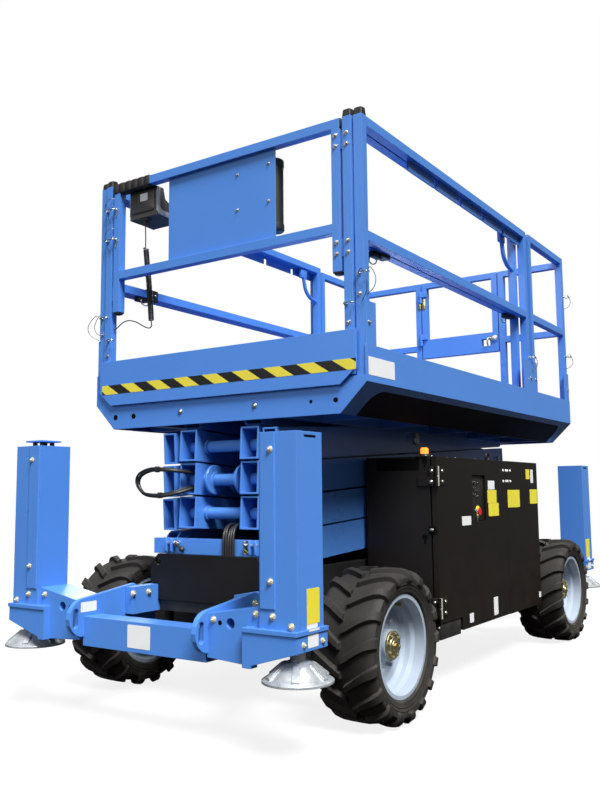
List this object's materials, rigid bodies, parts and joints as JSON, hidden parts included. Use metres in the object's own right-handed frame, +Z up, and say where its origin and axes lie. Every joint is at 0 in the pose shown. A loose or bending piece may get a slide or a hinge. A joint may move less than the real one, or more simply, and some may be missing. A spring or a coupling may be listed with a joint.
{
  "type": "rough terrain scissor lift",
  "caption": "Stowed rough terrain scissor lift: railed platform with roll-out deck on stacked crossing arms, wheeled chassis with side cabinets and corner outriggers, for lifting people.",
  "frame": {"origin": "on the floor under the middle of the machine", "axes": "+X towards the steered front end, +Y to the left side with the ground controls, +Z up"},
  "size_m": [3.84, 1.74, 2.567],
  "materials": {
    "blue_paint": "gloss",
    "black_paint": "satin",
    "dark_metal": "matte",
    "tyre": "matte",
    "rim_paint": "satin",
    "zinc": "galvanised",
    "polished_rod": "polished",
    "amber_lens": "gloss",
    "dark_plastic": "matte",
    "cord_rubber": "satin"
  },
  "bodies": {
    "chassis": {"chassis_frame": "black_paint", "front_guard": "black_paint", "front_axle": "black_paint", "rear_axle": "black_paint", "front_outrigger_frame": "blue_paint", "rear_outrigger_frame": "blue_paint", "left_cabinet": "black_paint", "right_cabinet": "black_paint", "engine_block": "dark_metal", "oil_tank": "dark_metal", "beacon": "amber_lens", "entry_ladder": "blue_paint"},
    "door_l": {"left_door": "black_paint"},
    "door_r": {"right_door": "black_paint"},
    "foot_fl": {"foot_fl": "zinc"},
    "foot_fr": {"foot_fr": "zinc"},
    "foot_rl": {"foot_rl": "zinc"},
    "foot_rr": {"foot_rr": "zinc"},
    "knuckle_fl": {"knuckle_fl": "dark_metal"},
    "knuckle_fr": {"knuckle_fr": "dark_metal"},
    "tie": {"tie_rod": "dark_metal"},
    "wheel_fl": {"tyre_fl": "tyre", "rim_fl": "rim_paint"},
    "wheel_fr": {"tyre_fr": "tyre", "rim_fr": "rim_paint"},
    "wheel_rl": {"tyre_rl": "tyre", "rim_rl": "rim_paint"},
    "wheel_rr": {"tyre_rr": "tyre", "rim_rr": "rim_paint"},
    "outer_1": {"outer_arm_1": "blue_paint"},
    "inner_1": {"inner_arm_1": "blue_paint"},
    "outer_2": {"outer_arm_2": "blue_paint"},
    "inner_2": {"inner_arm_2": "blue_paint"},
    "outer_3": {"outer_arm_3": "blue_paint"},
    "inner_3": {"inner_arm_3": "blue_paint"},
    "outer_4": {"outer_arm_4": "blue_paint"},
    "inner_4": {"inner_arm_4": "blue_paint"},
    "barrel": {"cylinder_barrel": "black_paint"},
    "ram": {"cylinder_rod": "polished_rod"},
    "platform": {"main_deck": "blue_paint", "left_rails": "blue_paint", "right_rails": "blue_paint", "rear_rails": "blue_paint"},
    "gate": {"gate": "blue_paint"},
    "extension": {"extension_deck": "blue_paint", "extension_rails": "blue_paint", "control_box": "dark_plastic", "document_tube": "dark_plastic", "cord_lead": "cord_rubber", "cord_coil": "cord_rubber", "cord_tail": "cord_rubber"}
  },
  "joints": [
    {"name": "scissor_raise", "type": "hinge", "parent": "chassis", "child": "outer_1", "pos_m": [1.27, 0, 0.706], "axis": [0, 1, 0], "range_deg": [0, 62]},
    {"name": "inner_1_swing", "type": "hinge", "parent": "outer_1", "child": "inner_1", "pos_m": [0, 0, 0.7845], "axis": [0, 1, 0], "range_deg": [-124, 0]},
    {"name": "outer_2_swing", "type": "hinge", "parent": "inner_1", "child": "outer_2", "pos_m": [1.27, 0, 0.863], "axis": [0, 1, 0], "range_deg": [0, 124]},
    {"name": "inner_2_swing", "type": "hinge", "parent": "outer_2", "child": "inner_2", "pos_m": [0, 0, 0.9415], "axis": [0, 1, 0], "range_deg": [-124, 0]},
    {"name": "outer_3_swing", "type": "hinge", "parent": "inner_2", "child": "outer_3", "pos_m": [1.27, 0, 1.02], "axis": [0, 1, 0], "range_deg": [0, 124]},
    {"name": "inner_3_swing", "type": "hinge", "parent": "outer_3", "child": "inner_3", "pos_m": [0, 0, 1.0985], "axis": [0, 1, 0], "range_deg": [-124, 0]},
    {"name": "outer_4_swing", "type": "hinge", "parent": "inner_3", "child": "outer_4", "pos_m": [1.27, 0, 1.177], "axis": [0, 1, 0], "range_deg": [0, 124]},
    {"name": "inner_4_swing", "type": "hinge", "parent": "outer_4", "child": "inner_4", "pos_m": [0, 0, 1.2555], "axis": [0, 1, 0], "range_deg": [-124, 0]},
    {"name": "platform_level", "type": "hinge", "parent": "inner_4", "child": "platform", "pos_m": [1.27, 0, 1.334], "axis": [0, 1, 0], "range_deg": [0, 62]},
    {"name": "barrel_swing", "type": "hinge", "parent": "inner_2", "child": "barrel", "pos_m": [1.1176, 0, 1.01058], "axis": [0, 1, 0], "range_deg": [0, 130.46]},
    {"name": "ram_slide", "type": "slide", "parent": "barrel", "child": "ram", "axis": [-0.9952, 0, 0.0983], "range_m": [0, 0.998]},
    {"name": "extension_slide", "type": "slide", "parent": "platform", "child": "extension", "axis": [1, 0, 0], "range_m": [0, 1.52]},
    {"name": "gate_swing", "type": "hinge", "parent": "platform", "child": "gate", "pos_m": [-1.37, -0.274, 2.2], "axis": [0, 0, -1], "range_deg": [0, 90]},
    {"name": "steer_left", "type": "hinge", "parent": "chassis", "child": "knuckle_fl", "pos_m": [1.169, 0.5, 0.32], "axis": [0, 0, 1], "range_deg": [-35, 35]},
    {"name": "steer_right", "type": "hinge", "parent": "chassis", "child": "knuckle_fr", "pos_m": [1.169, -0.5, 0.32], "axis": [0, 0, 1], "range_deg": [-35, 35]},
    {"name": "tie_rod_swing", "type": "hinge", "parent": "knuckle_fl", "child": "tie", "pos_m": [0.999, 0.5, 0.32], "axis": [0, 0, 1], "range_deg": [-35, 35]},
    {"name": "wheel_fl_spin", "type": "hinge", "parent": "knuckle_fl", "child": "wheel_fl", "pos_m": [1.169, 0.72, 0.32], "axis": [0, 1, 0], "continuous": true},
    {"name": "wheel_fr_spin", "type": "hinge", "parent": "knuckle_fr", "child": "wheel_fr", "pos_m": [1.169, -0.72, 0.32], "axis": [0, 1, 0], "continuous": true},
    {"name": "wheel_rl_spin", "type": "hinge", "parent": "chassis", "child": "wheel_rl", "pos_m": [-1.169, 0.72, 0.32], "axis": [0, 1, 0], "continuous": true},
    {"name": "wheel_rr_spin", "type": "hinge", "parent": "chassis", "child": "wheel_rr", "pos_m": [-1.169, -0.72, 0.32], "axis": [0, 1, 0], "continuous": true},
    {"name": "foot_fl_drop", "type": "slide", "parent": "chassis", "child": "foot_fl", "axis": [0, 0, -1], "range_m": [0, 0.4]},
    {"name": "foot_fr_drop", "type": "slide", "parent": "chassis", "child": "foot_fr", "axis": [0, 0, -1], "range_m": [0, 0.4]},
    {"name": "foot_rl_drop", "type": "slide", "parent": "chassis", "child": "foot_rl", "axis": [0, 0, -1], "range_m": [0, 0.4]},
    {"name": "foot_rr_drop", "type": "slide", "parent": "chassis", "child": "foot_rr", "axis": [0, 0, -1], "range_m": [0, 0.4]},
    {"name": "left_door_swing", "type": "hinge", "parent": "chassis", "child": "door_l", "pos_m": [0.626, 0.757, 0.7], "axis": [0, 0, -1], "range_deg": [0, 100]},
    {"name": "right_door_swing", "type": "hinge", "parent": "chassis", "child": "door_r", "pos_m": [0.626, -0.757, 0.7], "axis": [0, 0, 1], "range_deg": [0, 100]}
  ],
  "couplings": [
    {"joint": "inner_1_swing", "follows": "scissor_raise", "ratio": -2},
    {"joint": "outer_2_swing", "follows": "scissor_raise", "ratio": 2},
    {"joint": "inner_2_swing", "follows": "scissor_raise", "ratio": -2},
    {"joint": "outer_3_swing", "follows": "scissor_raise", "ratio": 2},
    {"joint": "inner_3_swing", "follows": "scissor_raise", "ratio": -2},
    {"joint": "outer_4_swing", "follows": "scissor_raise", "ratio": 2},
    {"joint": "inner_4_swing", "follows": "scissor_raise", "ratio": -2},
    {"joint": "platform_level", "follows": "scissor_raise", "ratio": 1},
    {"joint": "barrel_swing", "follows": "scissor_raise", "ratio": 2.1043},
    {"joint": "ram_slide", "follows": "scissor_raise", "m_per_rad": 0.9215},
    {"joint": "steer_right", "follows": "steer_left", "ratio": 1},
    {"joint": "tie_rod_swing", "follows": "steer_left", "ratio": -1}
  ]
}
